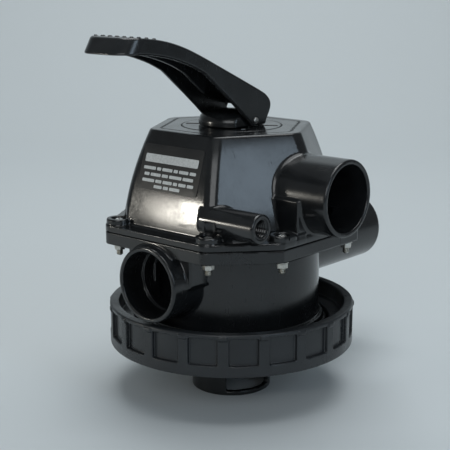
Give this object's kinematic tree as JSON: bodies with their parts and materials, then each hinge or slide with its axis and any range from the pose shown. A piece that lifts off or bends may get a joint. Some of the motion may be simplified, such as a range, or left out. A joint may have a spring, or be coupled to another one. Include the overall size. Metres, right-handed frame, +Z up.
{
  "type": "multiport valve",
  "caption": "Top-mount multiport diverter valve: hexagonal domed cover with a rotating lever, three pipe ports, a gauge boss, a ribbed union nut and a centre tube below.",
  "frame": {"origin": "on the valve's vertical axis, at the flat sealing face that rests on the tank neck", "axes": "+Z up along the valve's axis; +X along the pump port, outwards; +Y along the long body port, outwards; the lever points to -Y at rest"},
  "size_m": [0.2076, 0.3019, 0.2788],
  "materials": {
    "black_gloss_plastic": "glossy moulded glass-filled ABS, black",
    "grey_black_plastic": "satin moulded plastic, black with a grey cast",
    "rotor_plastic": "satin moulded plastic",
    "label_film": null,
    "seal_rubber": "matt black elastomer",
    "plated_hardware": "silvery passivated steel",
    "stainless_steel": "bright stainless steel",
    "spring_steel": "drawn stainless spring wire and pressed washers"
  },
  "bodies": {
    "valve": {"valve_body": "black_gloss_plastic", "tank_adapter": "black_gloss_plastic", "cover": "black_gloss_plastic", "index_plate": "black_gloss_plastic", "warning_label": "label_film", "cover_o_ring": "seal_rubber", "spider_gasket": "seal_rubber", "tank_neck_o_ring": "seal_rubber", "spring_washer_upper": "spring_steel", "cover_screw_1": "stainless_steel", "cover_screw_2": "stainless_steel", "cover_screw_3": "stainless_steel", "cover_screw_4": "stainless_steel", "cover_screw_5": "stainless_steel", "cover_screw_6": "stainless_steel", "cover_screw_7": "stainless_steel", "screw_washer_1": "plated_hardware", "screw_washer_2": "plated_hardware", "screw_washer_3": "plated_hardware", "screw_washer_4": "plated_hardware", "screw_washer_5": "plated_hardware", "screw_washer_6": "plated_hardware", "screw_washer_7": "plated_hardware", "screw_nut_1": "plated_hardware", "screw_nut_2": "plated_hardware", "screw_nut_3": "plated_hardware", "screw_nut_4": "plated_hardware", "screw_nut_5": "plated_hardware", "screw_nut_6": "plated_hardware", "screw_nut_7": "plated_hardware"},
    "lift": {"spring_washer_lower": "spring_steel", "spring": "spring_steel"},
    "diverter": {"rotor": "rotor_plastic", "stem_hub": "black_gloss_plastic", "lever_pin": "stainless_steel", "stem_o_ring_lower": "seal_rubber", "stem_o_ring_upper": "seal_rubber"},
    "lever": {"lever": "black_gloss_plastic"},
    "nut": {"union_nut": "grey_black_plastic"}
  },
  "joints": [
    {"name": "rotor_lift", "type": "slide", "parent": "valve", "child": "lift", "axis": [0, 0, 1], "range_m": [0, 0.0026], "deforming": ["spring"]},
    {"name": "diverter_turn", "type": "hinge", "parent": "lift", "child": "diverter", "pos_m": [0, 0, 0.1], "axis": [0, 0, 1], "continuous": true},
    {"name": "lever_tilt", "type": "hinge", "parent": "diverter", "child": "lever", "pos_m": [0, 0.001, 0.1654], "axis": [1, 0, 0], "range_deg": [0, 25]},
    {"name": "nut_turn", "type": "hinge", "parent": "valve", "child": "nut", "pos_m": [0, 0, 0], "axis": [0, 0, 1], "continuous": true}
  ],
  "couplings": [
    {"joint": "lever_tilt", "follows": "rotor_lift", "rad_per_m": 167.8}
  ]
}
